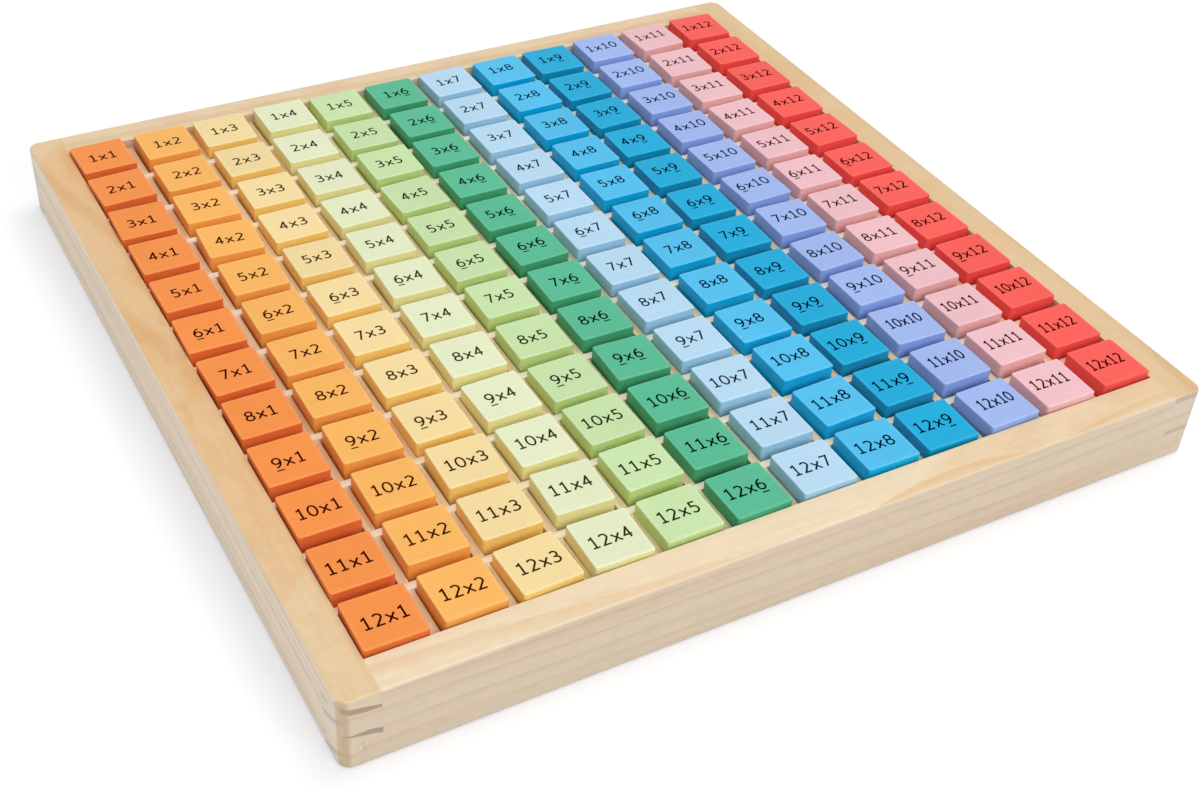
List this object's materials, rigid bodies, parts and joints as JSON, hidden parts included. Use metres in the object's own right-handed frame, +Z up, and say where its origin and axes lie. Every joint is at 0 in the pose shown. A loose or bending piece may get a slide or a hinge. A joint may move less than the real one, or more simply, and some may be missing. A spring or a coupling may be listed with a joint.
{
  "type": "multiplication tile board",
  "caption": "Square finger-jointed wooden tray with a cross-lapped slat lattice holding loose painted tiles, each marked with a times-table product to work out.",
  "frame": {"origin": "centre of the tray's footprint, on the plane it rests on", "axes": "+Z up out of the tray; +X to the right across the columns; +Y to the back, where the first row of tiles is"},
  "size_m": [0.31, 0.31, 0.0295],
  "materials": {
    "rail_wood": "sanded bare softwood, long grain",
    "base_plywood": "bare thin plywood",
    "slat_wood": "sawn bare pale wood",
    "paint_01": "satin orange paint on a wood block",
    "paint_02": "satin amber paint on a wood block",
    "paint_03": "satin straw paint on a wood block",
    "paint_04": "satin pale lime paint on a wood block",
    "paint_05": "satin light green paint on a wood block",
    "paint_06": "satin green paint on a wood block",
    "paint_07": "satin pale blue paint on a wood block",
    "paint_08": "satin sky blue paint on a wood block",
    "paint_09": "satin deep blue paint on a wood block",
    "paint_10": "satin periwinkle paint on a wood block",
    "paint_11": "satin pink paint on a wood block",
    "paint_12": "satin red paint on a wood block"
  },
  "bodies": {
    "root": {"front_rail": "rail_wood", "back_rail": "rail_wood", "left_rail": "rail_wood", "right_rail": "rail_wood", "base_panel": "base_plywood", "row_slat_01": "slat_wood", "row_slat_02": "slat_wood", "row_slat_03": "slat_wood", "row_slat_04": "slat_wood", "row_slat_05": "slat_wood", "row_slat_06": "slat_wood", "row_slat_07": "slat_wood", "row_slat_08": "slat_wood", "row_slat_09": "slat_wood", "row_slat_10": "slat_wood", "row_slat_11": "slat_wood", "column_slat_01": "slat_wood", "column_slat_02": "slat_wood", "column_slat_03": "slat_wood", "column_slat_04": "slat_wood", "column_slat_05": "slat_wood", "column_slat_06": "slat_wood", "column_slat_07": "slat_wood", "column_slat_08": "slat_wood", "column_slat_09": "slat_wood", "column_slat_10": "slat_wood", "column_slat_11": "slat_wood", "tile_column_01": "paint_01", "tile_column_02": "paint_02", "tile_column_03": "paint_03", "tile_column_04": "paint_04", "tile_column_05": "paint_05", "tile_column_06": "paint_06", "tile_column_07": "paint_07", "tile_column_08": "paint_08", "tile_column_09": "paint_09", "tile_column_10": "paint_10", "tile_column_11": "paint_11", "tile_column_12": "paint_12"}
  },
  "joints": []
}
